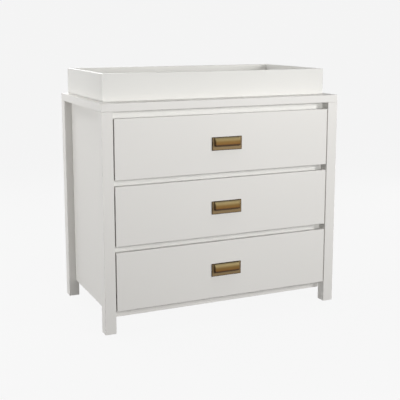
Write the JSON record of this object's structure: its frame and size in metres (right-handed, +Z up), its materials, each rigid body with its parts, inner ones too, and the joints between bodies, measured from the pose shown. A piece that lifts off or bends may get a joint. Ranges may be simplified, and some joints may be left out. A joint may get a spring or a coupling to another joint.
{
  "type": "changing table",
  "caption": "White dresser on square legs with sliding drawers, rounded brass cup pulls and an open changing tray on its top.",
  "frame": {"origin": "on the floor, at the middle of the overall width and of the overall depth", "axes": "+X to the right across the front, +Y from the drawer fronts to the back, +Z up"},
  "size_m": [0.93, 0.5254, 0.903],
  "materials": {
    "white_laminate": "warm white satin laminate on composite board, edge banded",
    "drawer_box_foil": "white foil-wrapped board, satin",
    "white_hardboard": "thin hardboard with a white painted face",
    "antique_brass": "antique brass plate on cast zinc, brushed, with a brown patina in the corners",
    "enamelled_steel": "white baked enamel on folded steel sheet",
    "nylon": "moulded white nylon",
    "zinc_plated_steel": "bright zinc plate on steel strip"
  },
  "bodies": {
    "case": {"top_panel": "white_laminate", "front_left_leg": "white_laminate", "front_right_leg": "white_laminate", "rear_left_leg": "white_laminate", "rear_right_leg": "white_laminate", "left_side_panel": "white_laminate", "right_side_panel": "white_laminate", "top_front_rail": "white_laminate", "upper_divider_rail": "white_laminate", "lower_divider_rail": "white_laminate", "bottom_front_rail": "white_laminate", "rear_bottom_rail": "white_laminate", "back_panel": "white_hardboard", "tray_front_board": "white_laminate", "tray_back_board": "white_laminate", "tray_left_board": "white_laminate", "tray_right_board": "white_laminate", "tray_bracket": "zinc_plated_steel", "bottom_left_case_runner": "enamelled_steel", "bottom_right_case_runner": "enamelled_steel", "middle_left_case_runner": "enamelled_steel", "middle_right_case_runner": "enamelled_steel", "top_left_case_runner": "enamelled_steel", "top_right_case_runner": "enamelled_steel"},
    "bottom_drawer": {"bottom_drawer_front": "white_laminate", "bottom_drawer_left_side": "drawer_box_foil", "bottom_drawer_right_side": "drawer_box_foil", "bottom_drawer_back": "drawer_box_foil", "bottom_drawer_bottom": "white_hardboard", "bottom_drawer_pull": "antique_brass", "bottom_drawer_left_runner": "enamelled_steel", "bottom_drawer_right_runner": "enamelled_steel"},
    "bottom_left_case_roller": {"bottom_left_case_roller": "nylon"},
    "bottom_drawer_left_roller": {"bottom_drawer_left_roller": "nylon"},
    "bottom_right_case_roller": {"bottom_right_case_roller": "nylon"},
    "bottom_drawer_right_roller": {"bottom_drawer_right_roller": "nylon"},
    "middle_drawer": {"middle_drawer_front": "white_laminate", "middle_drawer_left_side": "drawer_box_foil", "middle_drawer_right_side": "drawer_box_foil", "middle_drawer_back": "drawer_box_foil", "middle_drawer_bottom": "white_hardboard", "middle_drawer_pull": "antique_brass", "middle_drawer_left_runner": "enamelled_steel", "middle_drawer_right_runner": "enamelled_steel"},
    "middle_left_case_roller": {"middle_left_case_roller": "nylon"},
    "middle_drawer_left_roller": {"middle_drawer_left_roller": "nylon"},
    "middle_right_case_roller": {"middle_right_case_roller": "nylon"},
    "middle_drawer_right_roller": {"middle_drawer_right_roller": "nylon"},
    "top_drawer": {"top_drawer_front": "white_laminate", "top_drawer_left_side": "drawer_box_foil", "top_drawer_right_side": "drawer_box_foil", "top_drawer_back": "drawer_box_foil", "top_drawer_bottom": "white_hardboard", "top_drawer_pull": "antique_brass", "top_drawer_left_runner": "enamelled_steel", "top_drawer_right_runner": "enamelled_steel"},
    "top_left_case_roller": {"top_left_case_roller": "nylon"},
    "top_drawer_left_roller": {"top_drawer_left_roller": "nylon"},
    "top_right_case_roller": {"top_right_case_roller": "nylon"},
    "top_drawer_right_roller": {"top_drawer_right_roller": "nylon"}
  },
  "joints": [
    {"name": "bottom_drawer_slide", "type": "slide", "parent": "case", "child": "bottom_drawer", "axis": [0, -1, 0], "range_m": [0, 0.32]},
    {"name": "bottom_left_case_roller_turn", "type": "hinge", "parent": "case", "child": "bottom_left_case_roller", "pos_m": [-0.41955, -0.19335, 0.1085], "axis": [1, 0, 0], "continuous": true},
    {"name": "bottom_drawer_left_roller_turn", "type": "hinge", "parent": "bottom_drawer", "child": "bottom_drawer_left_roller", "pos_m": [-0.4177, 0.15865, 0.1083], "axis": [1, 0, 0], "continuous": true},
    {"name": "bottom_right_case_roller_turn", "type": "hinge", "parent": "case", "child": "bottom_right_case_roller", "pos_m": [0.41955, -0.19335, 0.1085], "axis": [1, 0, 0], "continuous": true},
    {"name": "bottom_drawer_right_roller_turn", "type": "hinge", "parent": "bottom_drawer", "child": "bottom_drawer_right_roller", "pos_m": [0.4177, 0.15865, 0.1083], "axis": [1, 0, 0], "continuous": true},
    {"name": "middle_drawer_slide", "type": "slide", "parent": "case", "child": "middle_drawer", "axis": [0, -1, 0], "range_m": [0, 0.32]},
    {"name": "middle_left_case_roller_turn", "type": "hinge", "parent": "case", "child": "middle_left_case_roller", "pos_m": [-0.41955, -0.19335, 0.34087], "axis": [1, 0, 0], "continuous": true},
    {"name": "middle_drawer_left_roller_turn", "type": "hinge", "parent": "middle_drawer", "child": "middle_drawer_left_roller", "pos_m": [-0.4177, 0.15865, 0.34067], "axis": [1, 0, 0], "continuous": true},
    {"name": "middle_right_case_roller_turn", "type": "hinge", "parent": "case", "child": "middle_right_case_roller", "pos_m": [0.41955, -0.19335, 0.34087], "axis": [1, 0, 0], "continuous": true},
    {"name": "middle_drawer_right_roller_turn", "type": "hinge", "parent": "middle_drawer", "child": "middle_drawer_right_roller", "pos_m": [0.4177, 0.15865, 0.34067], "axis": [1, 0, 0], "continuous": true},
    {"name": "top_drawer_slide", "type": "slide", "parent": "case", "child": "top_drawer", "axis": [0, -1, 0], "range_m": [0, 0.32]},
    {"name": "top_left_case_roller_turn", "type": "hinge", "parent": "case", "child": "top_left_case_roller", "pos_m": [-0.41955, -0.19335, 0.57323], "axis": [1, 0, 0], "continuous": true},
    {"name": "top_drawer_left_roller_turn", "type": "hinge", "parent": "top_drawer", "child": "top_drawer_left_roller", "pos_m": [-0.4177, 0.15865, 0.57303], "axis": [1, 0, 0], "continuous": true},
    {"name": "top_right_case_roller_turn", "type": "hinge", "parent": "case", "child": "top_right_case_roller", "pos_m": [0.41955, -0.19335, 0.57323], "axis": [1, 0, 0], "continuous": true},
    {"name": "top_drawer_right_roller_turn", "type": "hinge", "parent": "top_drawer", "child": "top_drawer_right_roller", "pos_m": [0.4177, 0.15865, 0.57303], "axis": [1, 0, 0], "continuous": true}
  ],
  "couplings": [
    {"joint": "bottom_left_case_roller_turn", "follows": "bottom_drawer_slide", "rad_per_m": 111.11},
    {"joint": "bottom_drawer_left_roller_turn", "follows": "bottom_drawer_slide", "rad_per_m": 111.11},
    {"joint": "bottom_right_case_roller_turn", "follows": "bottom_drawer_slide", "rad_per_m": 111.11},
    {"joint": "bottom_drawer_right_roller_turn", "follows": "bottom_drawer_slide", "rad_per_m": 111.11},
    {"joint": "middle_left_case_roller_turn", "follows": "middle_drawer_slide", "rad_per_m": 111.11},
    {"joint": "middle_drawer_left_roller_turn", "follows": "middle_drawer_slide", "rad_per_m": 111.11},
    {"joint": "middle_right_case_roller_turn", "follows": "middle_drawer_slide", "rad_per_m": 111.11},
    {"joint": "middle_drawer_right_roller_turn", "follows": "middle_drawer_slide", "rad_per_m": 111.11},
    {"joint": "top_left_case_roller_turn", "follows": "top_drawer_slide", "rad_per_m": 111.11},
    {"joint": "top_drawer_left_roller_turn", "follows": "top_drawer_slide", "rad_per_m": 111.11},
    {"joint": "top_right_case_roller_turn", "follows": "top_drawer_slide", "rad_per_m": 111.11},
    {"joint": "top_drawer_right_roller_turn", "follows": "top_drawer_slide", "rad_per_m": 111.11}
  ]
}
